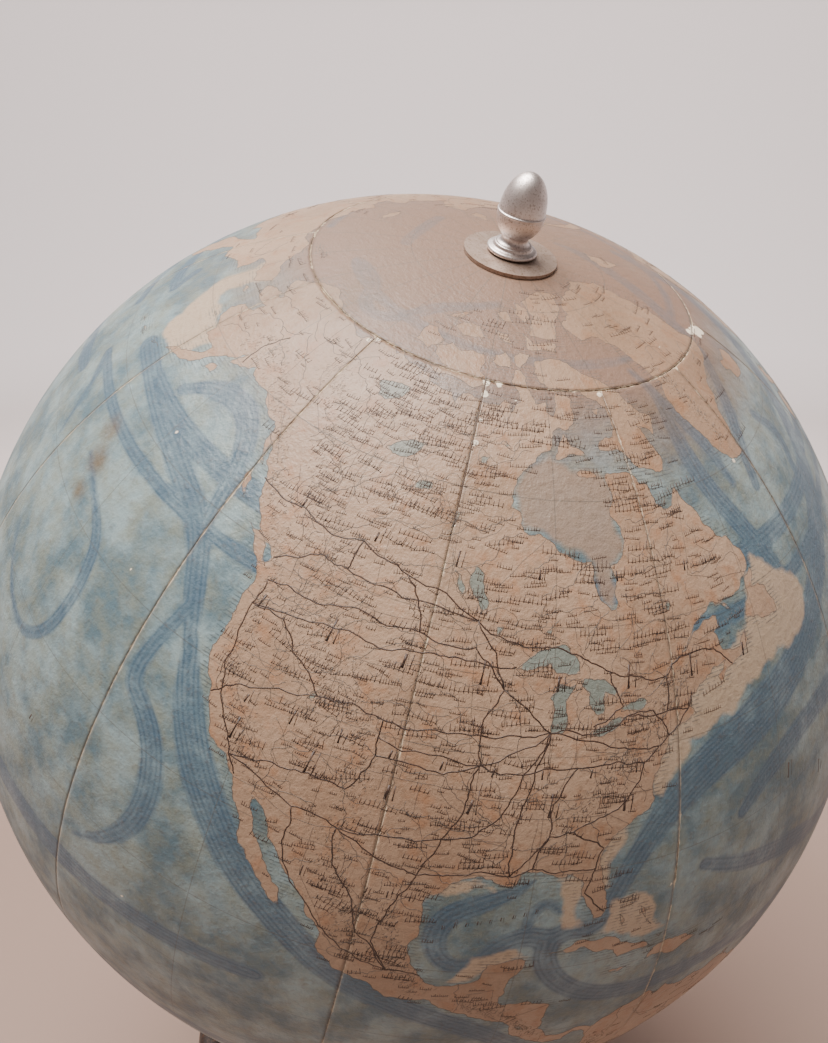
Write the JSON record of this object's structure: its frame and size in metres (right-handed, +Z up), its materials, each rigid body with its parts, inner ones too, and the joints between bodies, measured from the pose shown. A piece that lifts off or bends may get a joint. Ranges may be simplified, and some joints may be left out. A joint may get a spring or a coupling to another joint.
{
  "type": "desktop globe on stand",
  "caption": "Antique terrestrial globe of printed paper gores, turning on an inclined steel rod that rises from a turned dark wooden stand, with an acorn finial at the north pole.",
  "frame": {"origin": "centre of the felt face under the base, which rests on the table", "axes": "+Z up along the turned column; the globe's north pole leans 23.5 degrees towards +X"},
  "size_m": [0.2754, 0.2546, 0.4163],
  "materials": {
    "printed_paper": "satin",
    "cap_paper": "satin",
    "plaster": "matte",
    "papier_mache": "matte",
    "joint_paper": "matte",
    "raw_beech": "matte",
    "ebonised_beech": "satin",
    "felt": "matte",
    "leather": "matte",
    "steel_rod": "satin",
    "nickelled_brass": "satin",
    "iron_nails": "matte"
  },
  "bodies": {
    "stand": {"base": "ebonised_beech", "base_felt": "felt", "column": "ebonised_beech", "column_screw": "steel_rod", "rod_ferrule": "nickelled_brass", "rod_pin": "steel_rod", "axis_rod": "steel_rod", "thrust_collar": "nickelled_brass", "collar_set_screw": "steel_rod", "thrust_washer": "leather", "finial_seat": "nickelled_brass", "finial_nut": "nickelled_brass"},
    "globe": {"south_pole_bush": "nickelled_brass", "north_pole_bush": "nickelled_brass", "upper_hemisphere": "papier_mache", "lower_hemisphere": "papier_mache", "equator_tape": "joint_paper", "core_tube": "raw_beech", "north_core_block": "raw_beech", "south_core_block": "raw_beech", "north_core_nails": "iron_nails", "south_core_nails": "iron_nails", "plaster_coat": "plaster", "north_polar_cap": "cap_paper", "south_polar_cap": "cap_paper", "gore_01": "printed_paper", "gore_02": "printed_paper", "gore_03": "printed_paper", "gore_04": "printed_paper", "gore_05": "printed_paper", "gore_06": "printed_paper", "gore_07": "printed_paper", "gore_08": "printed_paper", "gore_09": "printed_paper", "gore_10": "printed_paper", "gore_11": "printed_paper", "gore_12": "printed_paper"}
  },
  "joints": [
    {"name": "globe_spin", "type": "hinge", "parent": "stand", "child": "globe", "pos_m": [0.06308, 0, 0.28508], "axis": [0.3987, 0, 0.9171], "continuous": true}
  ]
}
